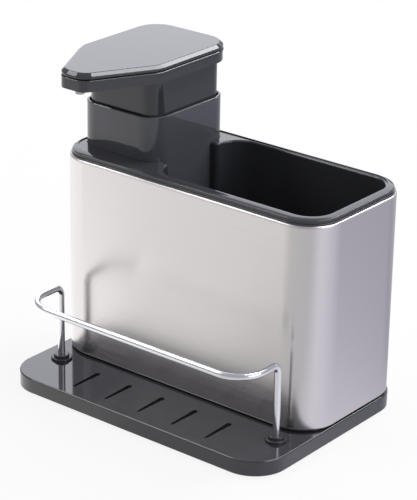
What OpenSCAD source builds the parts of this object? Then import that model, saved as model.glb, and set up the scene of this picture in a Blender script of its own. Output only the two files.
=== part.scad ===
// Soap pump caddy: a moulded tray and tub with a brushed steel sleeve, a wire rail
// for a sponge, and a lift-out soap bottle with a press-down pump.
// Millimetres, +Z up. The origin is on the table, under the middle of the tray,
// and the sponge rail is at the front, towards -Y.

/* [Tray] */
// Width of the tray, left to right
tray_w = 186; // [176:1:215]
// Depth of the tray, front to back
tray_d = 132; // [128:1:160]
// Height of the tray's moulding
tray_h = 8.7; // [8.3:0.1:12]
// Corner radius of the tray
tray_corner_r = 20.5; // [16:0.5:26]
// Thickness of the tray's top plate
tray_plate_t = 3; // [2.6:0.1:3.4]
// Thickness of the tray's side wall
tray_wall_t = 2.2; // [1.6:0.1:3]
// Radius along the tray's top edge
tray_edge_r = 0.8; // [0.4:0.1:1.4]
// Height of the raised pad that the sleeve stands on
plinth_h = 0.6; // [0.4:0.1:1.2]

/* [Feet and screws] */
// How far the rubber feet hold the tray off the table
foot_stand = 0.8; // [0.5:0.1:1.5]
// Radius of a foot
foot_r = 6.2; // [5:0.1:8]
// Distance of a foot's centre from the tray's sides
foot_inset = 14; // [12:0.5:17]
// Radius of a screw's shank
screw_r = 1.45; // [1.2:0.05:1.7]
// Radius of a screw's head
screw_head_r = 2.8; // [2.4:0.1:3.1]
// Distance of a screw from the sleeve's sides
screw_inset = 27; // [25:0.5:30]

/* [Drip grooves] */
// Number of grooves under the sponge
groove_count = 5; // [3:1:6]
// Distance between grooves
groove_pitch = 24; // [18:0.5:25]
// Length of a groove
groove_len = 22.4; // [16:0.2:26]
// Depth of a groove
groove_depth = 1.4; // [0.8:0.1:1.6]
// Half width of a groove at its front end
groove_front_r = 0.8; // [0.5:0.1:1.2]
// Half width of a groove at its back end
groove_back_r = 1.6; // [1.3:0.1:2.2]

/* [Sleeve] */
// Depth of the sleeve, front to back
sleeve_d = 88; // [86:0.5:92]
// Height of the sleeve
sleeve_h = 120.2; // [110:0.2:130]
// Thickness of the steel
sleeve_t = 0.7; // [0.5:0.05:0.8]
// Corner radius of the sleeve
sleeve_corner_r = 21; // [18:0.5:22]
// Radius of the lip rolled over at the top
sleeve_lip_r = 1.2; // [1:0.1:1.3]
// Width of the flange turned in at the bottom
sleeve_flange_w = 8; // [7.5:0.1:10]

/* [Tub] */
// Thickness of the tub's walls
tub_wall_t = 1.8; // [1.4:0.1:1.9]
// Thickness of the tub's floor
tub_floor_t = 2; // [1.6:0.1:3]
// Height of the tub's floor over the tray
tub_floor_lift = 7.9; // [7.8:0.1:11]
// Height of the tub's rim over the steel
rim_h = 2.9; // [2.4:0.1:4]
// Radius along the edge of the opening
opening_lip_r = 1.2; // [0.8:0.1:1.4]
// Corner radius of the open compartment
comp_corner_r = 14; // [12:0.5:17]
// Width of the web between bottle and compartment
web_w = 5.2; // [4.6:0.1:6]

/* [Rail] */
// Radius of the rail's wire
wire_r = 2; // [1.6:0.05:2.3]
// Height of the rail's bar over the table
rail_z = 54.8; // [40:0.2:70]
// Inner bend from leg to arm, measured at the wire's middle
rail_leg_bend_r = 5; // [4.4:0.2:6.4]
// Bend from arm to bar, measured at the wire's middle
rail_corner_r = 17; // [12:0.5:20]
// Distance of a leg's centre from the tray's side
rail_side_margin = 14.7; // [13.4:0.1:16]
// Distance of a leg's centre from the sleeve's front
rail_leg_gap = 11.3; // [9:0.1:13]

/* [Bottle] */
// Width of the bottle
bottle_w = 56.5; // [53:0.5:57.5]
// Depth of the bottle
bottle_d = 66.2; // [60:0.2:67]
// Height of the bottle
bottle_h = 139; // [134:0.5:146]
// Corner radius of the bottle
bottle_corner_r = 11.6; // [11:0.2:13]
// Wall of the bottle's collar
collar_t = 1.3; // [1.1:0.05:1.5]
// Wall of the bottle below the pump plate
bottle_wall_t = 2.3; // [2.2:0.05:2.6]
// Depth of the pump plate's seat below the collar's top
seat_depth = 37; // [36:0.5:40]

/* [Pump] */
// Travel of the pump head
stroke = 16; // [10:0.5:16.5]
// Outer radius of the pump housing
housing_r = 9; // [8.8:0.1:10]
// Bore radius of the pump housing
housing_bore_r = 7.2; // [7:0.1:7.4]
// Length of the pump housing below its flange
housing_len = 65; // [62:0.5:72]
// Radius of the stem
stem_r = 4; // [3.6:0.1:4.3]
// Bore radius of the stem
stem_bore_r = 1.6; // [1.2:0.1:2]
// Radius of the inlet ball
ball_r = 2.35; // [2.2:0.05:2.5]
// Outer radius of the dip tube
dip_r = 3.5; // [3:0.1:3.8]
// Radius of the spring's wire
spring_wire_r = 0.5; // [0.4:0.05:0.6]
// Turns of the spring
spring_turns = 9; // [7:1:10]

/* [Head] */
// Half width of the head's skirt
head_half_w = 29.6; // [28.8:0.1:31]
// Half width of the head's nose
nose_half_w = 8.1; // [7.6:0.1:9.4]
// How far the nose reaches in front of the bottle
nose_reach = 37.5; // [32:0.5:42]
// Height of the skirt
skirt_h = 6.6; // [6.2:0.1:9]
// Height of the lid over the skirt, the seam with it
lid_h = 3.9; // [3.6:0.1:5]
// Height of the shadow seam between lid and skirt
seam_h = 0.8; // [0.4:0.1:1]
// Free height between the collar and the skirt
head_gap = 21; // [20.5:0.5:26]
// Gap between the shroud and the collar
shroud_gap = 1; // [0.6:0.05:1]

/* [Hidden] */
$fn = 64;

// Overrun of every cut, and the clearances that fits are made with
cut = 1;
slip = 0.05;
fit_gap = 0.15;

// Tray
sleeve_side_gap = 0.5;
sleeve_back_gap = 0.4;
plinth_inset = 1.6;
tray_top = foot_stand + tray_h;
plate_z = tray_top - tray_plate_t;
plinth_top = tray_top + plinth_h;
tray_band = 4;
rib_t = 1.4;
rib_h = 3.2;
rib_clear = 0.8;
rib_x_shares = [-0.25, 0, 0.25];
rib_y_shares = [-0.14, 0.3];
foot_pocket = 1.6;
foot_pocket_wall = 1.1;
foot_roof_t = 0.7;
foot_seat_z = foot_stand + foot_pocket + foot_roof_t;
screw_boss_wall = 1.7;
screw_boss_h = 3;
screw_head_h = 2.2;
screw_bite = 6.9;
screw_hole_gap = 0.25;

// Sleeve outline and levels
sleeve_x1 = tray_w / 2 - sleeve_side_gap;
sleeve_y1 = tray_d / 2 - sleeve_back_gap;
sleeve_y0 = sleeve_y1 - sleeve_d;
sleeve_z0 = plinth_top;
sleeve_z1 = sleeve_z0 + sleeve_h;
sleeve_foot_r = 1.2;
sleeve_hem_w = 0.2;

// Where the grooves start behind the tray's front edge
groove_front_margin = 8.7;
groove_y = groove_front_margin + groove_len / 2 - tray_d / 2;

// Bottle and compartment in plan
bottle_side_margin = 3.8;
bottle_back_margin = 5.3;
bottle_x0 = bottle_side_margin - sleeve_x1;
bottle_x1 = bottle_x0 + bottle_w;
bottle_y1 = sleeve_y1 - bottle_back_margin;
bottle_y0 = bottle_y1 - bottle_d;
pump_x = (bottle_x0 + bottle_x1) / 2;
pump_y = (bottle_y0 + bottle_y1) / 2;
well_gap = 0.3;
comp_side_margin = 7.5;
comp_front_margin = 8.7;
comp_back_margin = 5.6;
comp_x0 = bottle_x1 + well_gap + web_w;
comp_x1 = sleeve_x1 - comp_side_margin;
comp_y0 = sleeve_y0 + comp_front_margin;
comp_y1 = sleeve_y1 - comp_back_margin;
throat_front_margin = 14.2;
throat_back_margin = 16;
throat_y0 = comp_y0 + throat_front_margin;
throat_y1 = comp_y1 - throat_back_margin;
finger_r = 2.4;

// Tub levels
tub_floor_z = plinth_top + tub_floor_lift;
tub_floor_top = tub_floor_z + tub_floor_t;
tub_skirt_z = sleeve_z0 + sleeve_t;
rim_top = sleeve_z1 + rim_h;
rim_inset = 1.5;
rim_edge_r = 0.5;
rim_step_inset = 0.8;
rim_step_h = 1;
rim_step_edge_r = 0.3;
rim_band = 3;
tub_boss_wall = 2.4;
tub_rib_t = 1.6;

// Rail
rail_x = tray_w / 2 - rail_side_margin;
rail_leg_y = sleeve_y0 - rail_leg_gap;
rail_front_y = wire_r - tray_d / 2;
leg_end_rise = 2.6;
leg_end_z = foot_stand + leg_end_rise;
grommet_wall = 2.4;
grommet_neck_r = wire_r + grommet_wall;
grommet_flange_w = 4.2;
grommet_flange_r = wire_r + grommet_flange_w;
grommet_flange_h = 1.3;
grommet_boss_wall = 2.5;
grommet_boss_r = wire_r + grommet_boss_wall;
grommet_boss_h = 1.7;
grommet_edge_r = 0.5;
grommet_lip_w = 3.2;
grommet_lip_r = wire_r + grommet_lip_w;
grommet_lip_h = 0.8;
retainer_w = 2.8;
retainer_r = wire_r + retainer_w;
retainer_h = 1;
retainer_notch_w = 1.2;
retainer_notches = 6;

// Bottle levels
bottle_z0 = tub_floor_top;
bottle_z1 = bottle_z0 + bottle_h;
bottle_floor_t = 2.4;
bottle_foot_chamfer = 1.2;
bottle_top_chamfer = 0.3;
bottle_band = 4;
seat_z = bottle_z1 - seat_depth;

// Shelf inside the bottle that carries the pump plate, round the mouth for its plug
plate_gap = 2.5;
plate_inset = collar_t + plate_gap;
shelf_lap = 2.3;
mouth_inset = plate_inset + shelf_lap;
shelf_t = 2.2;

// Pump plate and gasket
gasket_h = 0.8;
gasket_w = 2;
plate_z0 = seat_z + gasket_h;
plate_h = 2.4;
plate_z1 = plate_z0 + plate_h;
plug_inset = mouth_inset + fit_gap + slip;
plug_t = 1.4;
plug_h = 6;
plate_boss_t = 3;
plate_boss_h = 5.8;
plate_rib_t = 1.4;
plate_rib_h = 4;

// Pump housing, from its flange down
flange_w = 3.5;
flange_r = housing_r + flange_w;
flange_h = 1.6;
flange_z1 = plate_z1 + flange_h;
socket_wall = 1.7;
dip_socket_h = 8;
inlet_h = 2.2;
seat_h = 1.4;
ball_side_gap = 0.55;
chamber_r = ball_r + ball_side_gap;
ball_seat_w = 0.65;
inlet_r = ball_r - ball_seat_w;
housing_z0 = plate_z1 - housing_len;
inlet_z = housing_z0 + dip_socket_h;
valve_z = inlet_z + inlet_h;
chamber_z = valve_z + seat_h;
chamber_h = 4.4;
spring_ledge_z = chamber_z + chamber_h;
housing_cone_h = 3;
nut_w = 4.2;
nut_r = housing_r + nut_w;
nut_h = 3.8;
nut_z1 = plate_z0 - plate_boss_h;

// The ball sits in the cone of its seat
seat_slope = atan((chamber_r - inlet_r) / seat_h);
ball_z = valve_z - inlet_r / tan(seat_slope) + (ball_r + slip) / sin(seat_slope);
cage_h = 1.2;
cage_hole_r = 1.1;
cage_hole_pitch_r = 2.1;
cage_holes = 4;

// Bush, piston and stem
bush_plug_h = 5.8;
bush_plug_step = 0.8;
bush_plug_r = housing_bore_r + bush_plug_step;
bush_cap_w = 2.5;
bush_cap_r = bush_plug_r + bush_cap_w;
bush_cap_h = 3.2;
bush_edge = 0.8;
stem_gap = 0.08;
piston_gap = 0.04;
piston_h = 11.9;
piston_z1 = flange_z1 - bush_plug_h - 2 * slip;
piston_z0 = piston_z1 - piston_h;
piston_lip_h = 2.6;
piston_groove = 1.1;
piston_waist_r = housing_bore_r - piston_groove;
stem_tail = 3;
stem_z0 = piston_z0 - stem_tail;
stem_slot_w = 1.2;
spring_z0 = spring_ledge_z + cage_h;
spring_z1 = piston_z0;
spring_r = (stem_r + housing_bore_r) / 2;
spring_sides = 6;
spring_rings = 8;
dip_bore_r = 1.9;
dip_floor_gap = 2;
dip_notch_w = 2;
dip_notch_h = 3;

// Head outline: a rectangle over the bottle that narrows to a short nose
head_side_over = head_half_w - bottle_w / 2;
head_back_r = 14.8;
head_shoulder_r = 10.4;
head_nose_r = 5.6;
head_shoulder_set = 3.3;
head_back_over = 0.3;
head_shoulder_y = bottle_y0 + head_shoulder_set;
head_back_y = bottle_y1 + head_side_over + head_back_over;
nose_y = bottle_y0 - nose_reach;
head_pts = [
    [pump_x - nose_half_w, nose_y, head_nose_r],
    [pump_x + nose_half_w, nose_y, head_nose_r],
    [pump_x + head_half_w, head_shoulder_y, head_shoulder_r],
    [pump_x + head_half_w, head_back_y, head_back_r],
    [pump_x - head_half_w, head_back_y, head_back_r],
    [pump_x - head_half_w, head_shoulder_y, head_shoulder_r]];
skirt_z0 = bottle_z1 + head_gap;
skirt_z1 = skirt_z0 + skirt_h;
skirt_t = 1.5;
head_floor_t = 1.6;
lid_over = 0.5;
lid_bevel_w = 0.9;
lid_bevel_h = 1.6;
lid_lip_w = 1;
lid_top_t = 1.9;
lid_snap_t = 1.1;
lid_snap_h = 2.4;

// Shroud that runs down into the collar
shroud_inset = collar_t + shroud_gap;
shroud_t = 1.5;
shroud_clear = 0.8;
shroud_z0 = max(plate_z1, rim_top) + stroke + shroud_clear;
spider_ring_w = 1.8;
channel_boss_wall = 3;
spider_bore_r = stem_r + channel_boss_wall;
spider_r = spider_bore_r + spider_ring_w;
spider_t = 1.6;
spider_h = 7;

// Spout channel and nozzle
head_floor_z = skirt_z0 + head_floor_t;
channel_cap_r = spider_r;
channel_cap_h = 1.6;
channel_boss_r = spider_bore_r - slip;
channel_boss_h = 21;
stem_bite = 16;
channel_w = 9;
channel_h = 4.8;
channel_bore_r = 1.4;
nozzle_set = 7.2;
nozzle_y = nose_y + nozzle_set;
nozzle_r = 2.6;
nozzle_collar_r = 3.4;
nozzle_collar_h = 1.1;
nozzle_bore_r = 1.1;
nozzle_drop = 3.6;

// Plan helpers. An outline is a list of [x, y, fillet radius], counter-clockwise.
function unit(v) = v / norm(v);
function left_of(v) = [-v[1], v[0]];
function xy(p) = [p[0], p[1]];
function next_i(p, i) = (i + 1) % len(p);
function prev_i(p, i) = (i + len(p) - 1) % len(p);
function dir_in(p, i) = unit(xy(p[i]) - xy(p[prev_i(p, i)]));
function dir_out(p, i) = unit(xy(p[next_i(p, i)]) - xy(p[i]));
function turn(p, i) = acos(dir_in(p, i) * dir_out(p, i));
function tangent_len(p, i) = p[i][2] * tan(turn(p, i) / 2);
function arc_start(p, i) = xy(p[i]) - dir_in(p, i) * tangent_len(p, i);
function arc_end(p, i) = xy(p[i]) + dir_out(p, i) * tangent_len(p, i);
function arc_centre(p, i) = arc_start(p, i) + left_of(dir_in(p, i)) * p[i][2];
function side_normal(v) = atan2(v[1], v[0]) - 90;
function rect_pts(x0, x1, y0, y1, r) = [[x0, y0, r], [x1, y0, r], [x1, y1, r], [x0, y1, r]];

tray_pts = rect_pts(-tray_w / 2, tray_w / 2, -tray_d / 2, tray_d / 2, tray_corner_r);
sleeve_pts = rect_pts(-sleeve_x1, sleeve_x1, sleeve_y0, sleeve_y1, sleeve_corner_r);
bottle_pts = rect_pts(bottle_x0, bottle_x1, bottle_y0, bottle_y1, bottle_corner_r);
comp_pts = rect_pts(comp_x0, comp_x1, comp_y0, comp_y1, comp_corner_r);
screw_places = [for (sx = [-1, 1]) for (y = [sleeve_y0 + screw_inset, sleeve_y1 - screw_inset])
    [sx * (sleeve_x1 - screw_inset), y]];
foot_places = [for (sx = [-1, 1]) for (sy = [-1, 1])
    [sx * (tray_w / 2 - foot_inset), sy * (tray_d / 2 - foot_inset)]];
rail_places = [for (sx = [-1, 1]) [sx * rail_x, rail_leg_y]];

// The filled outline, drawn in by an inset
module outline(p, inset = 0) {
    polygon([for (i = [0:len(p) - 1]) for (d = [dir_in(p, i), dir_out(p, i)])
        arc_centre(p, i) - left_of(d) * (p[i][2] - inset)]);
    for (i = [0:len(p) - 1])
        translate(arc_centre(p, i)) circle(p[i][2] - inset);
}

// Runs a profile round an outline. The profile's x = 0 is on the outline, and -x is inside.
module edge_sweep(p) {
    for (i = [0:len(p) - 1]) {
        translate(arc_centre(p, i)) rotate(side_normal(dir_in(p, i)))
            rotate_extrude(angle = turn(p, i)) translate([p[i][2], 0]) children();
        translate(arc_start(p, next_i(p, i))) rotate(side_normal(dir_out(p, i))) rotate([90, 0, 0])
            linear_extrude(norm(arc_start(p, next_i(p, i)) - arc_end(p, i))) children();
    }
}

// Side profile of a plate with its top edge rounded
module edge_profile(h, edge_r, band) {
    translate([-band, 0]) square([band, h - edge_r]);
    translate([-band, 0]) square([band - edge_r, h]);
    translate([-edge_r, h - edge_r]) circle(edge_r);
}

module round_plate(p, h, edge_r, band, inset = 0) {
    edge_sweep(p) translate([-inset, 0]) edge_profile(h, edge_r, band);
    linear_extrude(h) outline(p, inset + band / 2);
}

// Profile that rounds over the edge of an opening, with x = 0 at the opening
module lip_profile() {
    difference() {
        translate([-cut, -opening_lip_r]) square([cut + opening_lip_r, opening_lip_r + cut]);
        translate([opening_lip_r, -opening_lip_r]) circle(opening_lip_r);
    }
}

module quarter_ring(r, t) {
    difference() {
        intersection() {
            circle(r);
            square(r);
        }
        circle(r - t);
    }
}

module at_pump(z) {
    translate([pump_x, pump_y, z]) children();
}

module drip_groove() {
    half = groove_len / 2;
    front_y = groove_front_r - half;
    back_y = half - groove_back_r;
    translate([0, groove_y, tray_top - groove_depth]) linear_extrude(groove_depth + cut) {
        translate([0, front_y]) circle(groove_front_r);
        translate([0, back_y]) circle(groove_back_r);
        polygon([[-groove_front_r, front_y], [groove_front_r, front_y],
            [groove_back_r, back_y], [-groove_back_r, back_y]]);
    }
}

module tray_underside() {
    for (s = rib_x_shares)
        translate([s * tray_w - rib_t / 2, -tray_d / 2 + tray_wall_t / 2, plate_z - rib_h])
            cube([rib_t, tray_d - tray_wall_t, rib_h + rib_t / 2]);
    for (s = rib_y_shares)
        translate([-tray_w / 2 + tray_wall_t / 2, s * tray_d - rib_t / 2, plate_z - rib_h])
            cube([tray_w - tray_wall_t, rib_t, rib_h + rib_t / 2]);
    for (p = screw_places)
        translate([p[0], p[1], plate_z - screw_boss_h])
            cylinder(h = screw_boss_h + rib_t / 2, r = screw_head_r + screw_hole_gap + screw_boss_wall);
    for (p = foot_places)
        translate([p[0], p[1], foot_seat_z - foot_pocket])
            cylinder(h = plate_z - foot_seat_z + foot_pocket + rib_t / 2,
                r = foot_r + fit_gap + foot_pocket_wall);
}

module base_tray() color("#3f3f44") difference() {
    union() {
        difference() {
            translate([0, 0, foot_stand]) round_plate(tray_pts, tray_h, tray_edge_r, tray_band);
            translate([0, 0, foot_stand - cut])
                linear_extrude(tray_h - tray_plate_t + cut) outline(tray_pts, tray_wall_t);
        }
        translate([0, 0, plate_z]) linear_extrude(plinth_top - plate_z)
            outline(sleeve_pts, plinth_inset);
        tray_underside();
    }
    for (i = [0:groove_count - 1])
        translate([(i - (groove_count - 1) / 2) * groove_pitch, 0, 0]) drip_groove();
    for (p = rail_places) {
        translate([p[0], p[1], plate_z - cut])
            cylinder(h = tray_plate_t + 2 * cut, r = grommet_neck_r + slip);
        translate([p[0], p[1], plate_z - rib_h])
            cylinder(h = rib_h, r = grommet_lip_r + rib_clear);
    }
    for (p = screw_places) translate([p[0], p[1], 0]) {
        cylinder(h = plinth_top + cut, r = screw_r + screw_hole_gap);
        cylinder(h = plate_z + screw_hole_gap, r = screw_head_r + screw_hole_gap);
    }
    for (p = foot_places) translate([p[0], p[1], 0])
        cylinder(h = foot_seat_z, r = foot_r + fit_gap);
}

module tray_feet() color("#222222") for (p = foot_places) translate([p[0], p[1], 0])
    rotate_extrude() difference() {
        square([foot_r, foot_seat_z]);
        translate([foot_r, 0]) circle(foot_stand / 2);
    }

module tray_screws() color("silver") for (p = screw_places)
    translate([p[0], p[1], plate_z + screw_hole_gap]) difference() {
        union() {
            translate([0, 0, -screw_head_h]) cylinder(h = screw_head_h, r = screw_head_r);
            cylinder(h = tray_plate_t + plinth_h - screw_hole_gap + screw_bite, r = screw_r);
        }
        for (a = [0, 90]) rotate(a)
            translate([-screw_r, -screw_r / 4, -screw_head_h - cut])
                cube([2 * screw_r, screw_r / 2, screw_head_h / 2 + cut]);
    }

// One strip of steel: flange turned in at the foot, wall, lip rolled over at the top
module steel_sleeve() color("#cdc9c8") translate([0, 0, sleeve_z0]) edge_sweep(sleeve_pts) {
    translate([-sleeve_flange_w, 0]) square([sleeve_flange_w - sleeve_foot_r, sleeve_t]);
    translate([-sleeve_foot_r, sleeve_foot_r]) rotate(-90) quarter_ring(sleeve_foot_r, sleeve_t);
    translate([-sleeve_t, sleeve_foot_r])
        square([sleeve_t, sleeve_h - sleeve_foot_r - sleeve_lip_r]);
    translate([-sleeve_lip_r, sleeve_h - sleeve_lip_r]) quarter_ring(sleeve_lip_r, sleeve_t);
    translate([-sleeve_lip_r - sleeve_hem_w, sleeve_h - sleeve_t]) square([sleeve_hem_w, sleeve_t]);
}

// Plan of the tub's hollow: bottle well, compartment and the throat between them
module tub_plan(grow = 0) {
    outline(comp_pts, -grow);
    outline(bottle_pts, -well_gap - grow);
    translate([bottle_x1 - bottle_corner_r, throat_y0 - grow])
        square([comp_x0 + comp_corner_r - bottle_x1 + bottle_corner_r, throat_y1 - throat_y0 + 2 * grow]);
}

// Webs that carry the two fingers beside the throat
module finger_webs() {
    x0 = bottle_x1 - bottle_corner_r;
    w = comp_x0 + comp_corner_r - x0;
    translate([x0, bottle_y0 - well_gap - tub_wall_t])
        square([w, throat_y0 - bottle_y0 + well_gap + tub_wall_t]);
    translate([x0, throat_y1]) square([w, bottle_y1 + well_gap + tub_wall_t - throat_y1]);
}

// Cuts a finger's end round in plan and rounds its top edge over
module finger_end(y, back) {
    translate([comp_x0, y, 0]) mirror([0, back ? 1 : 0, 0]) translate([-finger_r, -finger_r, 0]) {
        translate([0, 0, tub_floor_top]) linear_extrude(rim_top - tub_floor_top + cut) difference() {
            square(finger_r + slip);
            circle(finger_r);
        }
        translate([0, 0, rim_top]) rotate_extrude(angle = 90) translate([finger_r, 0])
            mirror([1, 0]) lip_profile();
    }
}

module throat_lip(y, back) {
    translate([bottle_x1 - bottle_corner_r, y, rim_top]) rotate([90, 0, 90])
        linear_extrude(comp_x0 - finger_r - bottle_x1 + bottle_corner_r)
            mirror([back ? 0 : 1, 0]) lip_profile();
}

module tub_shell() difference() {
    union() {
        translate([0, 0, sleeve_z1])
            round_plate(sleeve_pts, rim_step_h, rim_step_edge_r, rim_band, rim_step_inset);
        translate([0, 0, sleeve_z1]) round_plate(sleeve_pts, rim_h, rim_edge_r, rim_band, rim_inset);
        translate([0, 0, tub_skirt_z]) linear_extrude(sleeve_z1 + rim_step_h - tub_skirt_z)
            intersection() {
                union() {
                    tub_plan(tub_wall_t);
                    finger_webs();
                }
                outline(sleeve_pts, sleeve_lip_r + sleeve_hem_w + slip);
            }
    }
    translate([0, 0, tub_floor_top]) linear_extrude(rim_top - tub_floor_top + cut) tub_plan();
    translate([0, 0, rim_top]) edge_sweep(comp_pts) lip_profile();
    for (back = [false, true]) {
        finger_end(back ? throat_y1 : throat_y0, back);
        throat_lip(back ? throat_y1 : throat_y0, back);
    }
    translate([0, 0, tub_skirt_z - cut]) linear_extrude(tub_floor_z - tub_skirt_z + cut) tub_plan();
}

// Boss down to the tray, and a rib along it that joins the tub's walls under the floor
module tub_boss(p) {
    y0 = (p[0] < 0 ? bottle_y0 - well_gap : comp_y0) - tub_wall_t / 2;
    y1 = (p[0] < 0 ? bottle_y1 + well_gap : comp_y1) + tub_wall_t / 2;
    translate([p[0], p[1], plinth_top])
        cylinder(h = tub_floor_z + tub_floor_t / 2 - plinth_top, r = screw_r + tub_boss_wall);
    translate([p[0] - tub_rib_t / 2, y0, tub_skirt_z])
        cube([tub_rib_t, y1 - y0, tub_floor_z + tub_floor_t / 2 - tub_skirt_z]);
}

module inner_tub() color("#3a3a3f") difference() {
    union() {
        tub_shell();
        for (p = screw_places) tub_boss(p);
    }
    for (p = screw_places) translate([p[0], p[1], plinth_top - cut])
        cylinder(h = tub_floor_z - plinth_top + cut, r = screw_r + slip);
}

// Half of the bent rail: leg, arm and half of the bar
module rail_half() {
    translate([rail_x, rail_leg_y, leg_end_z])
        cylinder(h = rail_z - rail_leg_bend_r - leg_end_z, r = wire_r);
    translate([rail_x, rail_leg_y - rail_leg_bend_r, rail_z - rail_leg_bend_r]) rotate([90, 0, 90])
        rotate_extrude(angle = 90) translate([rail_leg_bend_r, 0]) circle(wire_r);
    translate([rail_x, rail_leg_y - rail_leg_bend_r, rail_z]) rotate([90, 0, 0])
        cylinder(h = rail_leg_y - rail_leg_bend_r - rail_front_y - rail_corner_r, r = wire_r);
    translate([rail_x - rail_corner_r, rail_front_y + rail_corner_r, rail_z]) rotate(-90)
        rotate_extrude(angle = 90) translate([rail_corner_r, 0]) circle(wire_r);
    translate([0, rail_front_y, rail_z]) rotate([0, 90, 0])
        cylinder(h = rail_x - rail_corner_r, r = wire_r);
}

module rail_wire() color("#e8e8ea") {
    rail_half();
    mirror([1, 0, 0]) rail_half();
}

module grommet_profile() {
    translate([0, plate_z - grommet_lip_h]) square([grommet_lip_r, grommet_lip_h]);
    translate([0, plate_z]) square([grommet_neck_r, tray_plate_t]);
    translate([0, tray_top]) {
        square([grommet_flange_r, grommet_flange_h - grommet_edge_r]);
        square([grommet_flange_r - grommet_edge_r, grommet_flange_h]);
        translate([grommet_flange_r - grommet_edge_r, grommet_flange_h - grommet_edge_r])
            circle(grommet_edge_r);
        square([grommet_boss_r, grommet_flange_h + grommet_boss_h - grommet_edge_r]);
        square([grommet_boss_r - grommet_edge_r, grommet_flange_h + grommet_boss_h]);
        translate([grommet_boss_r - grommet_edge_r, grommet_flange_h + grommet_boss_h - grommet_edge_r])
            circle(grommet_edge_r);
    }
}

module rail_grommets() color("#2b2b2e") for (p = rail_places) translate(p)
    rotate_extrude() difference() {
        grommet_profile();
        square([wire_r + slip, tray_top + grommet_flange_h + grommet_boss_h + cut]);
    }

module rail_retainers() color("silver") for (p = rail_places)
    translate([p[0], p[1], plate_z - grommet_lip_h - retainer_h]) difference() {
        cylinder(h = retainer_h, r = retainer_r);
        translate([0, 0, -cut]) cylinder(h = retainer_h + 2 * cut, r = wire_r + slip);
        for (i = [0:retainer_notches - 1]) rotate(i * 360 / retainer_notches)
            translate([0, -retainer_notch_w / 2, -cut])
                cube([wire_r + retainer_notch_w, retainer_notch_w, retainer_h + 2 * cut]);
    }

// Bottle: floor, wall, seat ledge for the pump plate and thin collar above it
module soap_bottle() color("#46464b") translate([0, 0, bottle_z0]) {
    edge_sweep(bottle_pts) polygon([[-bottle_band, 0], [-bottle_foot_chamfer, 0],
        [0, bottle_foot_chamfer], [0, bottle_h - bottle_top_chamfer],
        [-bottle_top_chamfer, bottle_h], [-collar_t, bottle_h], [-collar_t, seat_z - bottle_z0],
        [-mouth_inset, seat_z - bottle_z0], [-mouth_inset, seat_z - bottle_z0 - shelf_t],
        [-bottle_wall_t, seat_z - bottle_z0 - shelf_t - mouth_inset + bottle_wall_t],
        [-bottle_wall_t, bottle_floor_t], [-bottle_band, bottle_floor_t]]);
    linear_extrude(bottle_floor_t) outline(bottle_pts, bottle_band / 2);
}

module plate_gasket() color("#1e1e1e") translate([0, 0, seat_z]) edge_sweep(bottle_pts)
    translate([-plate_inset - gasket_w, 0]) square([gasket_w, gasket_h]);

// Plate that plugs into the bottle and carries the pump
module pump_plate() color("#333337") difference() {
    union() {
        translate([0, 0, plate_z0]) linear_extrude(plate_h) outline(bottle_pts, plate_inset);
        translate([0, 0, plate_z0 - plug_h]) linear_extrude(plug_h + plate_h / 2) difference() {
            outline(bottle_pts, plug_inset);
            outline(bottle_pts, plug_inset + plug_t);
        }
        at_pump(plate_z0 - plate_boss_h)
            cylinder(h = plate_boss_h + plate_h / 2, r = housing_r + plate_boss_t);
        at_pump(plate_z0 - plate_rib_h) {
            translate([-bottle_w / 2 + plug_inset + plug_t / 2, -plate_rib_t / 2, 0])
                cube([bottle_w - 2 * plug_inset - plug_t, plate_rib_t, plate_rib_h + plate_h / 2]);
            translate([-plate_rib_t / 2, -bottle_d / 2 + plug_inset + plug_t / 2, 0])
                cube([plate_rib_t, bottle_d - 2 * plug_inset - plug_t, plate_rib_h + plate_h / 2]);
        }
    }
    at_pump(plate_z0 - plate_boss_h - cut)
        cylinder(h = plate_boss_h + plate_h + 2 * cut, r = housing_r + slip);
}

module pump_housing() color("#d9dadb") at_pump(0) rotate_extrude() difference() {
    polygon([[0, housing_z0], [dip_r + slip + socket_wall, housing_z0],
        [dip_r + slip + socket_wall, chamber_z], [housing_r, chamber_z + housing_cone_h],
        [housing_r, plate_z1], [flange_r, plate_z1], [flange_r, flange_z1], [0, flange_z1]]);
    polygon([[0, housing_z0 - cut], [dip_r + slip, housing_z0 - cut], [dip_r + slip, inlet_z],
        [inlet_r, inlet_z], [inlet_r, valve_z], [chamber_r, chamber_z],
        [chamber_r, spring_ledge_z], [housing_bore_r, spring_ledge_z],
        [housing_bore_r, flange_z1 - bush_plug_h], [bush_plug_r + slip, flange_z1 - bush_plug_h],
        [bush_plug_r + slip, flange_z1 + cut], [0, flange_z1 + cut]]);
}

// Hexagon nut under the plate's boss
module housing_nut() color("#c8c8cc") at_pump(nut_z1 - nut_h) difference() {
    cylinder(h = nut_h, r = nut_r, $fn = 6);
    translate([0, 0, -cut]) cylinder(h = nut_h + 2 * cut, r = housing_r + slip);
}

module ball_cage() color("#e6e6e6") at_pump(spring_ledge_z) difference() {
    cylinder(h = cage_h, r = housing_bore_r - slip);
    for (i = [0:cage_holes - 1]) rotate(i * 360 / cage_holes)
        translate([cage_hole_pitch_r, 0, -cut]) cylinder(h = cage_h + 2 * cut, r = cage_hole_r);
}

module inlet_ball() color("#b8bcc0") at_pump(ball_z) sphere(ball_r);

module dip_tube() color("#e9e9ea") at_pump(bottle_z0 + bottle_floor_t + dip_floor_gap) difference() {
    cylinder(h = inlet_z - bottle_z0 - bottle_floor_t - dip_floor_gap, r = dip_r);
    translate([0, 0, -cut]) cylinder(h = inlet_z, r = dip_bore_r);
    translate([-dip_r - cut, -dip_notch_w / 2, -cut])
        cube([2 * dip_r + 2 * cut, dip_notch_w, dip_notch_h + cut]);
}

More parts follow.
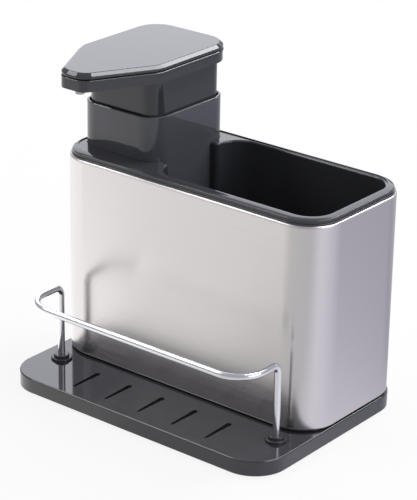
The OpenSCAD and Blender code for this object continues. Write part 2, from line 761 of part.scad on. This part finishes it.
// Compression spring as one swept tube: rings of the wire's section along a helix,
// with the first and last half turn laid flat and half a wire in from each seat
spring_steps = spring_turns * spring_rings;
spring_rise = spring_z1 - spring_z0 - 2 * spring_wire_r;
spring_lead = spring_rise / (spring_steps - spring_rings);
function spring_height(i) = spring_lead * max(0, min(i - spring_rings / 2, spring_steps - spring_rings));
function spring_point(i, k) = let (a = i * 360 / spring_rings, b = k * 360 / spring_sides,
    r = spring_r + spring_wire_r * cos(b))
    [r * cos(a), r * sin(a), spring_wire_r + spring_height(i) + spring_wire_r * sin(b)];
spring_points = [for (i = [0:spring_steps]) for (k = [0:spring_sides - 1]) spring_point(i, k)];
spring_skin = [for (i = [0:spring_steps - 1]) for (k = [0:spring_sides - 1])
    let (a = i * spring_sides + k, b = i * spring_sides + (k + 1) % spring_sides)
    each [[a, b, b + spring_sides], [a, b + spring_sides, a + spring_sides]]];
spring_caps = [for (k = [1:spring_sides - 2]) each
    [[0, k + 1, k], [spring_steps * spring_sides, spring_steps * spring_sides + k,
        spring_steps * spring_sides + k + 1]]];
echo(spring_gap = spring_lead * spring_rings - 2 * spring_wire_r);
echo(spring_gap_pressed = (spring_rise - stroke) / (spring_turns - 1) - 2 * spring_wire_r);

module return_spring() color("#b9bdc2") at_pump(spring_z0)
    polyhedron(points = spring_points, faces = concat(spring_skin, spring_caps));

module pump_piston() color("#f0f0ee") at_pump(piston_z0) rotate_extrude() difference() {
    lip_r = housing_bore_r - piston_gap;
    polygon([[0, 0], [lip_r, 0], [lip_r, piston_lip_h / 2], [piston_waist_r, piston_lip_h],
        [piston_waist_r, piston_h - piston_lip_h], [lip_r, piston_h - piston_lip_h / 2],
        [lip_r, piston_h], [0, piston_h]]);
    translate([0, -cut]) square([stem_r + slip, piston_h + 2 * cut]);
}

// Hollow stem: its cross slot at the foot lets the soap in
stem_z1 = head_floor_z + channel_cap_h - channel_boss_h + stem_bite;
module pump_stem() color("#e4e4e4") at_pump(stem_z0) difference() {
    cylinder(h = stem_z1 - stem_z0, r = stem_r);
    translate([0, 0, -cut]) cylinder(h = stem_z1 - stem_z0 + 2 * cut, r = stem_bore_r);
    translate([-stem_r - cut, -stem_slot_w / 2, -cut])
        cube([2 * stem_r + 2 * cut, stem_slot_w, stem_tail / 2 + cut]);
}

module stem_bush() color("#dcdcdc") at_pump(flange_z1) rotate_extrude() difference() {
    polygon([[0, -bush_plug_h], [bush_plug_r, -bush_plug_h], [bush_plug_r, 0], [bush_cap_r, 0],
        [bush_cap_r, bush_cap_h - bush_edge], [bush_cap_r - bush_edge, bush_cap_h], [0, bush_cap_h]]);
    translate([0, -bush_plug_h - cut]) square([stem_r + stem_gap, bush_plug_h + bush_cap_h + 2 * cut]);
}

// Channel that joins the stem to the nozzle, with a socket for the stem
module spout_channel() color("#45454a") difference() {
    union() {
        at_pump(head_floor_z + channel_cap_h - channel_boss_h)
            cylinder(h = channel_boss_h, r = channel_boss_r);
        at_pump(head_floor_z) cylinder(h = channel_cap_h, r = channel_cap_r);
        at_pump(head_floor_z) cylinder(h = channel_h, r = channel_boss_r);
        translate([pump_x - channel_w / 2, nozzle_y, head_floor_z])
            cube([channel_w, pump_y - nozzle_y, channel_h]);
        translate([pump_x, nozzle_y, head_floor_z]) cylinder(h = channel_h, r = channel_w / 2);
    }
    at_pump(head_floor_z + channel_cap_h - channel_boss_h - cut)
        cylinder(h = stem_bite + cut, r = stem_r + slip);
    at_pump(stem_z1 - cut) cylinder(h = head_floor_z + channel_h / 2 - stem_z1 + cut, r = channel_bore_r);
    translate([pump_x, nozzle_y, head_floor_z + channel_h / 2]) rotate([-90, 0, 0])
        cylinder(h = pump_y - nozzle_y, r = channel_bore_r);
    translate([pump_x, nozzle_y, head_floor_z - cut])
        cylinder(h = channel_h / 2 + cut, r = nozzle_r + slip);
}

module spout_nozzle() color("#d8d8da") translate([pump_x, nozzle_y, 0]) rotate_extrude()
    difference() {
        union() {
            translate([0, skirt_z0 - nozzle_drop])
                square([nozzle_r, head_floor_z + channel_h / 2 - skirt_z0 + nozzle_drop]);
            translate([0, skirt_z0 - nozzle_collar_h]) square([nozzle_collar_r, nozzle_collar_h]);
        }
        translate([0, skirt_z0 - nozzle_drop - cut])
            square([nozzle_bore_r, head_floor_z + channel_h - skirt_z0 + nozzle_drop + cut]);
    }

// Arms that tie the channel's socket to the shroud
module head_spider() at_pump(head_floor_z - spider_h) {
    cylinder(h = spider_h, r = spider_r);
    translate([-bottle_w / 2 + shroud_inset + shroud_t / 2, -spider_t / 2, 0])
        cube([bottle_w - 2 * shroud_inset - shroud_t, spider_t, spider_h]);
    translate([-spider_t / 2, -bottle_d / 2 + shroud_inset + shroud_t / 2, 0])
        cube([spider_t, bottle_d - 2 * shroud_inset - shroud_t, spider_h]);
}

// Skirt, floor and shroud in one moulding
module head_shell() color("#404045") difference() {
    union() {
        difference() {
            union() {
                translate([0, 0, skirt_z0]) linear_extrude(skirt_h) outline(head_pts);
                translate([0, 0, shroud_z0]) linear_extrude(skirt_z0 + head_floor_t / 2 - shroud_z0)
                    outline(bottle_pts, shroud_inset);
            }
            translate([0, 0, head_floor_z]) linear_extrude(skirt_h) outline(head_pts, skirt_t);
            translate([0, 0, shroud_z0 - cut]) linear_extrude(head_floor_z - shroud_z0 + 2 * cut)
                outline(bottle_pts, shroud_inset + shroud_t);
        }
        head_spider();
    }
    at_pump(head_floor_z - spider_h - cut) cylinder(h = spider_h + 2 * cut, r = spider_bore_r);
    translate([pump_x, nozzle_y, skirt_z0 - cut])
        cylinder(h = head_floor_t + 2 * cut, r = nozzle_r + slip);
}

// Lid: bevelled edge, shadow seam over the skirt, and a rim that snaps inside it
module head_lid() color("#8f8f98") translate([0, 0, skirt_z1]) difference() {
    union() {
        translate([0, 0, seam_h]) hull() {
            linear_extrude(lid_h - seam_h - lid_bevel_h) outline(head_pts, -lid_over);
            linear_extrude(lid_h - seam_h) outline(head_pts, lid_bevel_w - lid_over);
        }
        linear_extrude(lid_h - lid_top_t) outline(head_pts, lid_lip_w);
        translate([0, 0, -lid_snap_h]) linear_extrude(lid_snap_h + seam_h)
            outline(head_pts, skirt_t + fit_gap);
    }
    translate([0, 0, -lid_snap_h - cut]) linear_extrude(lid_snap_h + lid_h - lid_top_t + cut)
        outline(head_pts, skirt_t + fit_gap + lid_snap_t);
}

base_tray();
tray_feet();
tray_screws();
steel_sleeve();
inner_tub();
rail_wire();
rail_grommets();
rail_retainers();
soap_bottle();
plate_gasket();
pump_plate();
pump_housing();
housing_nut();
ball_cage();
inlet_ball();
dip_tube();
return_spring();
pump_piston();
pump_stem();
stem_bush();
spout_channel();
spout_nozzle();
head_shell();
head_lid();
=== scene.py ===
import bpy
import bmesh
import math
from mathutils import Matrix, Vector


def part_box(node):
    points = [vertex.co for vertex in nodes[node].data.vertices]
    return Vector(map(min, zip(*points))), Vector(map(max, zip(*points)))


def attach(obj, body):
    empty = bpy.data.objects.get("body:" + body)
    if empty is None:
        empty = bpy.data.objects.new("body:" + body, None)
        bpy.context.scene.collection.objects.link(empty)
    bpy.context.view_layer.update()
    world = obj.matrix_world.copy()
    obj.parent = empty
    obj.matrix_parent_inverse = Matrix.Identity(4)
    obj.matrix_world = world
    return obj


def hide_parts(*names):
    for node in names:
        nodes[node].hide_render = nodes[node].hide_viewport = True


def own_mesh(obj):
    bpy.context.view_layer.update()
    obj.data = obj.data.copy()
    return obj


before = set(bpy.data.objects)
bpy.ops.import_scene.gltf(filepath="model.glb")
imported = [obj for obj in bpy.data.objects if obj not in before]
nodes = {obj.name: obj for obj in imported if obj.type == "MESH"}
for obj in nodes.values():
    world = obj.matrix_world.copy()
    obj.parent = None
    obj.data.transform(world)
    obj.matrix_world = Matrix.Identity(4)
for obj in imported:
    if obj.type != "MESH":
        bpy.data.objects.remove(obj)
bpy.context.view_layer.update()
MM = 0.001

# Camera, solved from the photograph: azimuth, elevation and roll in degrees, lengths in millimetres
CAMERA_ANGLES = (38.33, 22.68, 1.06)
CAMERA_TARGET = (0, -0.9, 84.05)
CAMERA_DISTANCE = 1201.3
CAMERA_RIGHT = 2.75
CAMERA_UP = 4.40
CAMERA_LENS = 154.4
SENSOR_WIDTH = 36
NEAR_LIMIT = 50


def aim_camera():
    azimuth, elevation, roll = (math.radians(angle) for angle in CAMERA_ANGLES)
    back = Vector((
        math.sin(azimuth) * math.cos(elevation), -math.cos(azimuth) * math.cos(elevation),
        math.sin(elevation)))
    level = Vector((math.cos(azimuth), math.sin(azimuth), 0))
    rise = back.cross(level)
    right = math.cos(roll) * level + math.sin(roll) * rise
    up = -math.sin(roll) * level + math.cos(roll) * rise
    place = Vector(CAMERA_TARGET) + back * CAMERA_DISTANCE + right * CAMERA_RIGHT + up * CAMERA_UP
    data = bpy.data.cameras.new("camera")
    data.lens = CAMERA_LENS
    data.sensor_width = SENSOR_WIDTH
    data.sensor_fit = "AUTO"
    data.clip_start = NEAR_LIMIT * MM
    camera = bpy.data.objects.new("camera", data)
    camera.matrix_world = Matrix((
        (right.x, up.x, back.x, place.x * MM), (right.y, up.y, back.y, place.y * MM),
        (right.z, up.z, back.z, place.z * MM), (0, 0, 0, 1)))
    bpy.context.scene.collection.objects.link(camera)
    bpy.context.scene.camera = camera


aim_camera()


# Shader maths
class Sock:
    """A shader socket that adds Math nodes as it is reckoned with."""

    def __init__(self, graph, socket):
        self.graph = graph
        self.socket = socket

    def maths(self, operation, *values):
        return self.graph.node("ShaderNodeMath", {"operation": operation}, dict(enumerate(values)))

    def __add__(self, other):
        return self.maths("ADD", self, other)

    def __radd__(self, other):
        return self.maths("ADD", other, self)

    def __sub__(self, other):
        return self.maths("SUBTRACT", self, other)

    def __rsub__(self, other):
        return self.maths("SUBTRACT", other, self)

    def __mul__(self, other):
        return self.maths("MULTIPLY", self, other)

    def __rmul__(self, other):
        return self.maths("MULTIPLY", other, self)


class Graph:
    """The node tree of one material or world."""

    def __init__(self, owner):
        owner.use_nodes = True
        self.tree = owner.node_tree
        self.tree.nodes.clear()

    def node(self, kind, settings=None, values=None, output=0):
        """Adds a node with its properties and inputs; returns the output that is asked for."""
        made = self.tree.nodes.new(kind)
        for name, value in (settings or {}).items():
            setattr(made, name, value)
        for name, value in (values or {}).items():
            if isinstance(value, Sock):
                self.tree.links.new(value.socket, made.inputs[name])
            else:
                made.inputs[name].default_value = value
        return Sock(self, made.outputs[output]) if made.outputs else None

    def place(self, scale=(1, 1, 1)):
        here = self.node("ShaderNodeTexCoord", output="Object")
        return self.node("ShaderNodeMapping", {}, {"Vector": here, "Scale": scale})

    def parts(self, vector):
        cut = self.node("ShaderNodeSeparateXYZ", {}, {"Vector": vector})
        return [Sock(self, made) for made in cut.socket.node.outputs]

    def ray(self, question):
        """One where the answer to a question such as Is Camera Ray is yes, and nought elsewhere."""
        return self.node("ShaderNodeLightPath", output=question)

    def noise(self, where, scale, detail=2.0, roughness=0.5):
        return self.node("ShaderNodeTexNoise", {}, {
            "Vector": where, "Scale": scale, "Detail": detail, "Roughness": roughness})

    def span(self, value, low, high, to_low, to_high):
        return self.node("ShaderNodeMapRange", {}, {
            "Value": value, "From Min": low, "From Max": high, "To Min": to_low, "To Max": to_high})

    def ramp(self, value, *stops):
        made = self.node("ShaderNodeValToRGB", {}, {"Fac": value})
        elements = made.socket.node.color_ramp.elements
        while len(elements) < len(stops):
            elements.new(0.5)
        for element, (place, colour) in zip(elements, stops):
            element.position = place
            element.color = colour
        return made

    def blend(self, amount, first, second):
        # The inputs of the colour kind of Mix are numbered, as its names are shared by other kinds
        return self.node(
            "ShaderNodeMix", {"data_type": "RGBA"}, {0: amount, 6: first, 7: second}, output=2)

    def bump(self, height, depth, strength=1.0):
        return self.node("ShaderNodeBump", {}, {
            "Height": height, "Distance": depth, "Strength": strength})

    def finish(self, **values):
        surface = self.node("ShaderNodeBsdfPrincipled", {}, {
            name.replace("_", " "): value for name, value in values.items()})
        self.node("ShaderNodeOutputMaterial", {}, {"Surface": surface})


def material(name, paint, *settings):
    made = bpy.data.materials.new(name)
    paint(Graph(made), *settings)
    return made


def opaque(colour, brightness=1):
    """A colour made so many times as bright, with full alpha."""
    return tuple(level * brightness for level in colour) + (1,)


def glossy_plastic(g, colour, roughness, specular=0.5):
    """Moulded charcoal plastic: polished, with the faint waves and haze of a moulding."""
    waves = g.noise(g.place(), 60, 2)
    haze = g.noise(g.place(), 240, 4, 0.6)
    g.finish(
        Base_Color=g.blend(haze, opaque(colour), opaque(colour, 1.15)),
        Roughness=g.span(haze, 0.3, 0.7, roughness * 0.85, roughness * 1.25),
        IOR=1.5, Specular_IOR_Level=specular, Normal=g.bump(waves, 0.00004, 0.3))


def satin_plastic(g, colour, roughness):
    """Plain moulded plastic of the inner parts, with a fine grain."""
    grain = g.noise(g.place(), 900, 3, 0.6)
    g.finish(
        Base_Color=g.blend(grain, opaque(colour), opaque(colour, 1.12)),
        Roughness=g.span(grain, 0.3, 0.7, roughness * 0.9, roughness * 1.15),
        IOR=1.48, Normal=g.bump(grain, 0.00003, 0.4))


# The steel's rolled hem: between which levels in metres the brushing turns dull, and by how much
HEM_LEVELS = (0.1284, 0.1292)
HEM_DULLNESS = 0.16


def brushed_sheet(g, colour, smooth, rough):
    """Stainless sheet brushed along its length: level scratches, clear and hazy by turns, dull on
    the hem."""
    scratches = g.noise(g.place((5, 5, 1500)), 6, 3, 0.5)
    streaks = g.noise(g.place((0.8, 0.8, 110)), 6, 3, 0.5)
    tone = scratches * 0.8 + streaks * 0.2
    height = g.parts(g.place())[2]
    hem = g.span(height, *HEM_LEVELS, 0, HEM_DULLNESS)
    g.finish(
        Base_Color=g.ramp(tone, (0.3, opaque(colour, 0.94)), (0.7, opaque(colour))), Metallic=1.0,
        Roughness=g.span(scratches, 0.42, 0.62, smooth, rough) + hem,
        Anisotropic=0.68, Anisotropic_Rotation=0.25, Normal=g.bump(scratches, 0.000002, 0.3))


def bright_wire(g, colour, roughness):
    """Polished drawn wire with faint draw marks."""
    marks = g.noise(g.place(), 500, 3, 0.6)
    g.finish(
        Base_Color=g.blend(marks, opaque(colour), opaque(colour, 0.93)), Metallic=1.0,
        Roughness=g.span(marks, 0.3, 0.7, roughness * 0.8, roughness * 1.4))


def soft_rubber(g, colour, roughness):
    """Matt rubber with a powdery grain."""
    grain = g.noise(g.place(), 1400, 3, 0.6)
    g.finish(
        Base_Color=g.blend(grain, opaque(colour), opaque(colour, 1.6)),
        Roughness=g.span(grain, 0.3, 0.7, roughness * 0.92, roughness),
        Normal=g.bump(grain, 0.00006, 0.5))


charcoal = material("charcoal_gloss", glossy_plastic, (0.045, 0.046, 0.053), 0.05)
tray_charcoal = material("tray_charcoal", glossy_plastic, (0.027, 0.027, 0.033), 0.05, 0.8)
bottle_grey = material("bottle_grey", glossy_plastic, (0.086, 0.088, 0.103), 0.05)
charcoal_satin = material("charcoal_satin", satin_plastic, (0.036, 0.036, 0.040), 0.32)
steel = material("brushed_steel", brushed_sheet, (0.69, 0.66, 0.655), 0.21, 0.27)
wire = material("rail_wire", bright_wire, (0.84, 0.84, 0.85), 0.17)
screw_zinc = material("screw_zinc", bright_wire, (0.62, 0.63, 0.64), 0.30)
spring_wire = material("spring_wire", bright_wire, (0.60, 0.60, 0.61), 0.24)
rubber = material("rubber", soft_rubber, (0.018, 0.018, 0.018), 0.85)
white_pump = material("white_pump", satin_plastic, (0.72, 0.72, 0.70), 0.35)
clear_tube = material("tube", satin_plastic, (0.78, 0.78, 0.77), 0.25)
pale_tip = material("pale_tip", satin_plastic, (0.66, 0.66, 0.68), 0.30)

FINISH = {
    "base_tray": tray_charcoal, "tray_feet": rubber, "tray_screws": screw_zinc,
    "steel_sleeve": steel, "inner_tub": charcoal, "rail_wire": wire, "rail_grommets": charcoal,
    "rail_retainers": screw_zinc, "soap_bottle": bottle_grey, "plate_gasket": rubber,
    "pump_plate": charcoal_satin, "pump_housing": white_pump, "housing_nut": white_pump,
    "ball_cage": white_pump, "inlet_ball": wire, "dip_tube": clear_tube,
    "return_spring": spring_wire, "pump_piston": white_pump, "pump_stem": white_pump,
    "stem_bush": white_pump, "spout_channel": charcoal_satin, "spout_nozzle": pale_tip,
    "head_shell": charcoal, "head_lid": charcoal}
for name, finish in FINISH.items():
    slots = nodes[name].data.materials
    if not slots:
        slots.append(finish)
    for i in range(len(slots)):
        slots[i] = finish


# Pieces of the scene, with their sizes in millimetres
# Where the pump's axis stands
PUMP_X = -60.45
PUMP_Y = 27.2
# Corners of the head's outline from the nose back: half-width, place from front to back, and after
# each of these how far it moves for every millimetre that the outline grows
HEAD_CORNERS = ((8.1, 0.603, -43.4, -1.0), (29.6, 1.0, -2.6, -0.247), (29.6, 1.0, 61.95, 1.0))
HEAD_CORNER_STEPS = 12
# Lid: growth past the head's outline, corner radii, levels, how far in and up its edge slopes, and
# the recessed lip under it
LID_GROWTH = 0.45
LID_RADII = (10, 15, 16)
LID_LEVELS = (187.3, 188.7)
LID_SLOPE = (2.2, 1.8)
LID_LIP_INSET = 1.3
LID_LIP_DEPTH = 0.7
LID_ROUNDING = 0.3
# Bead round the skirt, in the same order
BEAD_GROWTH = 0.4
BEAD_RADII = (8, 11, 15.2)
BEAD_LEVELS = (185.6, 186.25)
BEAD_SLOPE = (0.4, 0.33)
BEAD_ROUNDING = 0.06
# Corner radius of the sleeve's outline
SLEEVE_CORNER = 21
# The rim's band in section: how far in from the sleeve's left, right, front and back, and how far
# above the tub's top
RIM_BAND = (
    ((2.05, 2.05, 2.05, 2.05), -0.3), ((2.05, 2.05, 2.05, 2.05), 0.05),
    ((2.4, 4.4, 4.6, 2.9), 0.6), ((2.7, 5.9, 6.9, 3.35), 0.6), ((2.85, 6.15, 7.2, 3.6), -0.3))
RIM_CORNER_STEPS = 10
RIM_ROUNDING = 0.08
# The cut that keeps the band off the bottle's corner: a point on it, and the way towards the corner
BAND_END = (-77.95, 60.93, 0)
BAND_END_FACES = (-0.759, 0.652, 0)
# Coil spring: radii of the coil and the wire, its ends and its turns
SPRING_R = 5.6
SPRING_WIRE_R = 0.5
SPRING_WIRE_SIDES = 10
SPRING_LOW = 77.45
SPRING_HIGH = 108.95
SPRING_TURNS = 9
SPRING_TURN_STEPS = 24
# Edges sharper than this many degrees are rounded, in so many steps
ROUNDED_ANGLE = 25
ROUNDING_STEPS = 3


def head_outline(growth, radii):
    """Corners (x, y, radius) of the pump head's outline, grown by so many millimetres."""
    half = [
        (x + dx * growth, y + dy * growth, radius)
        for (x, dx, y, dy), radius in zip(HEAD_CORNERS, radii)]
    right = [(PUMP_X + x, y, radius) for x, y, radius in half]
    left = [(PUMP_X - x, y, radius) for x, y, radius in reversed(half)]
    return right + left


def upright_edge(work, x, y):
    return next(
        edge for edge in work.edges
        if all(math.hypot(vert.co.x - x, vert.co.y - y) < 0.01 for vert in edge.verts))


def rounded_plate(work, corners, low, high):
    """A plate between two levels, its upright edges rounded. Returns its top face."""
    face = work.faces.new([work.verts.new((x, y, low)) for x, y, radius in corners])
    grown = bmesh.ops.extrude_face_region(work, geom=[face])["geom"]
    bmesh.ops.translate(
        work, verts=[item for item in grown if isinstance(item, bmesh.types.BMVert)],
        vec=(0, 0, high - low))
    for i, (x, y, radius) in enumerate(corners):
        here, before, after = (Vector(corners[k % len(corners)][:2]) for k in (i, i - 1, i + 1))
        half = (before - here).angle(after - here) / 2
        bmesh.ops.bevel(
            work, geom=[upright_edge(work, x, y)], offset=radius / math.tan(half),
            offset_type="OFFSET", segments=HEAD_CORNER_STEPS, profile=0.5, affect="EDGES",
            material=-1)
    bmesh.ops.recalc_face_normals(work, faces=work.faces[:])
    return max(
        (face for face in work.faces if face.normal.z > 0.9),
        key=lambda face: face.calc_center_median().z)


def finish_piece(name, work, body, surface, rounding=None):
    """Turns a bmesh in millimetres into a smooth piece that rides on a body."""
    bmesh.ops.scale(work, vec=(MM, MM, MM), verts=work.verts[:])
    mesh = bpy.data.meshes.new(name)
    work.to_mesh(mesh)
    work.free()
    mesh.polygons.foreach_set("use_smooth", [True] * len(mesh.polygons))
    mesh.materials.append(surface)
    piece = bpy.data.objects.new(name, mesh)
    bpy.context.scene.collection.objects.link(piece)
    if rounding:
        edge = piece.modifiers.new("rounding", "BEVEL")
        edge.width = rounding * MM
        edge.segments = ROUNDING_STEPS
        edge.limit_method = "ANGLE"
        edge.angle_limit = math.radians(ROUNDED_ANGLE)
        edge.harden_normals = True
    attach(piece, body)
    return piece


def make_lid():
    """Flat lid of the head: bevelled all round, with a recessed lip that leaves a dark seam."""
    work = bmesh.new()
    top = rounded_plate(work, head_outline(LID_GROWTH, LID_RADII), *LID_LEVELS)
    inwards, upwards = LID_SLOPE
    bmesh.ops.inset_region(
        work, faces=[top], thickness=inwards, depth=upwards, use_even_offset=True)
    under = min(work.faces, key=lambda face: face.calc_center_median().z)
    bmesh.ops.inset_region(
        work, faces=[under], thickness=LID_LIP_INSET, depth=0, use_even_offset=True)
    lip = bmesh.ops.extrude_discrete_faces(work, faces=[under])["faces"][0]
    bmesh.ops.translate(work, verts=lip.verts[:], vec=(0, 0, -LID_LIP_DEPTH))
    lid = finish_piece("head_lid_top", work, "head", charcoal, LID_ROUNDING)
    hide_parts("head_lid")


def make_bead():
    """Raised bead round the top edge of the head's skirt, under the seam."""
    work = bmesh.new()
    top = rounded_plate(work, head_outline(BEAD_GROWTH, BEAD_RADII), *BEAD_LEVELS)
    inwards, upwards = BEAD_SLOPE
    bmesh.ops.inset_region(
        work, faces=[top], thickness=inwards, depth=upwards, use_even_offset=True)
    finish_piece("skirt_bead", work, "head", charcoal, BEAD_ROUNDING)


def rounded_loop(work, insets, level):
    """Edges of the sleeve's outline, moved in from the left, right, front and back by so many
    millimetres."""
    low, high = (Vector(corner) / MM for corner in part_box("steel_sleeve"))
    left, right, front, back = insets
    x0, x1, y0, y1 = low.x + left, high.x - right, low.y + front, high.y - back
    corners = [
        (work.verts.new((x, y, level)), SLEEVE_CORNER - (a + b) / 2)
        for x, y, a, b in (
            (x0, y0, left, front), (x1, y0, right, front), (x1, y1, right, back),
            (x0, y1, left, back))]
    work.faces.new([vert for vert, radius in corners])
    rounded = set()
    for vert, radius in corners:
        made = bmesh.ops.bevel(
            work, geom=[vert], offset=radius, offset_type="OFFSET", segments=RIM_CORNER_STEPS,
            profile=0.5, affect="VERTICES", material=-1)
        rounded.update(made["verts"])
    face = next(iter(rounded)).link_faces[0]
    edges = face.edges[:]
    bmesh.ops.delete(work, geom=[face], context="FACES_ONLY")
    return edges


def make_rim():
    """Raised band on the tub's rim: slopes up from the outside, flat on top, then a small step
    down. It leaves out the corner where the bottle comes close to the rim's edge."""
    work = bmesh.new()
    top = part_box("inner_tub")[1][2] / MM
    loops = [rounded_loop(work, insets, top + rise) for insets, rise in RIM_BAND]
    for first, second in zip(loops, loops[1:] + loops[:1]):
        bmesh.ops.bridge_loops(work, edges=first + second)
    bmesh.ops.bisect_plane(
        work, geom=work.verts[:] + work.edges[:] + work.faces[:], plane_co=BAND_END,
        plane_no=BAND_END_FACES, clear_outer=True)
    bmesh.ops.holes_fill(work, edges=[edge for edge in work.edges if edge.is_boundary])
    bmesh.ops.recalc_face_normals(work, faces=work.faces[:])
    finish_piece("rim_band", work, "caddy", charcoal, RIM_ROUNDING)


def make_spring():
    """Coil spring under the piston, its end turns laid flat."""
    work = bmesh.new()
    start = Matrix.Translation((PUMP_X + SPRING_R, PUMP_Y, SPRING_LOW + SPRING_WIRE_R))
    bmesh.ops.create_circle(
        work, cap_ends=True, segments=SPRING_WIRE_SIDES, radius=SPRING_WIRE_R,
        matrix=start @ Matrix.Rotation(math.pi / 2, 4, "X"))
    end = work.faces[:]
    lead = (SPRING_HIGH - SPRING_LOW - 2 * SPRING_WIRE_R) / (SPRING_TURNS - 1)
    for turns, rise in ((0.5, 0), (SPRING_TURNS - 1, lead), (0.5, 0)):
        end = bmesh.ops.spin(
            work, geom=end, cent=(PUMP_X, PUMP_Y, 0), axis=(0, 0, 1),
            dvec=(0, 0, rise / SPRING_TURN_STEPS), angle=2 * math.pi * turns,
            steps=round(turns * SPRING_TURN_STEPS), use_merge=False)["geom_last"]
    bmesh.ops.recalc_face_normals(work, faces=work.faces[:])
    spring = finish_piece("piston_spring", work, "pump", spring_wire)
    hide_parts("return_spring")
    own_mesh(spring)


make_lid()
make_bead()
make_rim()
make_spring()


# Floor, world and lamps, in metres
WHITE = (1, 1, 1, 1)
# Painted reflection: the floor glows to shiny surfaces, brighter or dimmer round the object as
# light falls off round a studio, from the left past the front and the right to the back: share of
# the turn, brightness and how much bluer it is
PAINTED_STUDIO_REFLECTION = (
    (0.00, 1.30, 0), (0.11, 1.30, 0), (0.13, 1.06, 0), (0.19, 0.95, 0), (0.25, 0.73, 0),
    (0.40, 0.68, 0.04), (0.46, 0.88, 0.10), (0.57, 0.70, 0.10), (0.66, 0.45, 0.08),
    (0.77, 0.60, 0.05), (0.88, 0.92, 0.02), (1.00, 1.30, 0))
# Brightness that stands for full white in the ramp made of them
PEAK = 1.4
FLOOR_GREY = (0.85, 0.85, 0.85, 1)
FLOOR_HALF = 4
# How white the floor is to the camera under the object, and the square of the distance at which it
# is wholly white
PAPER_START = 0.86
PAPER_REACH = 0.36
# The room as shiny surfaces see it, and its strength as a source of light
MIRRORED_ROOM = (0.42, 0.42, 0.47, 1)
ROOM_LIGHT = 0.27


def pale_floor(g):
    """White to the camera, most of all far off, with the object's shadow; metal sees in it a
    painted reflection of light falling off round it."""
    camera = g.ray("Is Camera Ray")
    glossy = g.ray("Is Glossy Ray")
    across, back, _ = g.parts(g.place())
    turn = back.maths("ARCTAN2", back, across) * (0.5 / math.pi) + 0.5
    # Painted reflection: the floor's glow as shiny surfaces see it, brighter and bluer by turns
    # round the object
    painted_reflection = g.ramp(turn, *(
        (place, (glow / PEAK, glow / PEAK, (glow + blue) / PEAK, 1))
        for place, glow, blue in PAINTED_STUDIO_REFLECTION))
    shown = g.node("ShaderNodeEmission", {}, {
        "Color": g.blend(glossy, WHITE, painted_reflection), "Strength": g.span(glossy, 0, 1, 1, PEAK)})
    lit = g.node("ShaderNodeBsdfDiffuse", {}, {"Color": FLOOR_GREY})
    paper = g.span(across * across + back * back, 0, PAPER_REACH, PAPER_START, 1)
    both = g.node("ShaderNodeMixShader", {}, {
        0: camera * paper + glossy * (1 - camera), 1: lit, 2: shown})
    g.node("ShaderNodeOutputMaterial", {}, {"Surface": both})


def lay_floor():
    mesh = bpy.data.meshes.new("floor")
    work = bmesh.new()
    bmesh.ops.create_grid(work, x_segments=1, y_segments=1, size=FLOOR_HALF)
    work.to_mesh(mesh)
    work.free()
    mesh.materials.append(material("floor", pale_floor))
    floor = bpy.data.objects.new("floor", mesh)
    bpy.context.scene.collection.objects.link(floor)


def light_world():
    world = bpy.data.worlds.new("studio")
    bpy.context.scene.world = world
    g = Graph(world)
    camera = g.ray("Is Camera Ray")
    glossy = g.ray("Is Glossy Ray")
    through = g.ray("Is Transmission Ray")
    seen = camera.maths("MAXIMUM", camera, glossy.maths("MAXIMUM", glossy, through))
    shade = g.node("ShaderNodeBackground", {}, {
        "Color": g.blend(glossy, WHITE, MIRRORED_ROOM),
        "Strength": g.span(seen, 0, 1, ROOM_LIGHT, 1.0)})
    g.node("ShaderNodeOutputWorld", {}, {"Surface": shade})


def lamp(name, place, aim, along, size, glow, colour=(1, 1, 1)):
    """A softbox at place that faces aim, its width laid along a direction; glow is its
    brightness."""
    back = (Vector(place) - Vector(aim)).normalized()
    side = (Vector(along) - back * back.dot(Vector(along))).normalized()
    turned = Matrix((side, back.cross(side), back)).transposed().to_4x4()
    data = bpy.data.lights.new(name, "AREA")
    data.shape = "RECTANGLE"
    data.size, data.size_y = size
    data.energy = glow * math.pi * size[0] * size[1]
    data.color = colour
    made = bpy.data.objects.new(name, data)
    made.matrix_world = Matrix.Translation(place) @ turned
    bpy.context.scene.collection.objects.link(made)


lay_floor()
light_world()
lamp(
    "key_lamp", place=(0.27, 0.65, 1.11), aim=(0, 0, 0.15), along=(-0.09, 0.47, -0.26),
    size=(1.08, 0.32), glow=9.5, colour=(0.97, 0.98, 1.0))
lamp(
    "back_card", place=(-0.86, 1.09, 0.75), aim=(0, 0, 0.17), along=(1, 0, 0), size=(1.6, 0.7),
    glow=1.75, colour=(0.93, 0.94, 1.0))
lamp(
    "edge_lamp", place=(-0.78, -0.36, 1.12), aim=(0, 0, 0.10), along=(0, 1, 0),
    size=(0.85, 0.40), glow=5)
lamp(
    "right_fill", place=(1.5, 0.1, 0.65), aim=(0, 0, 0.1), along=(0, 1, 0), size=(1.1, 0.8),
    glow=2.2, colour=(0.90, 0.94, 1.0))

bpy.context.scene.view_settings.view_transform = "Standard"
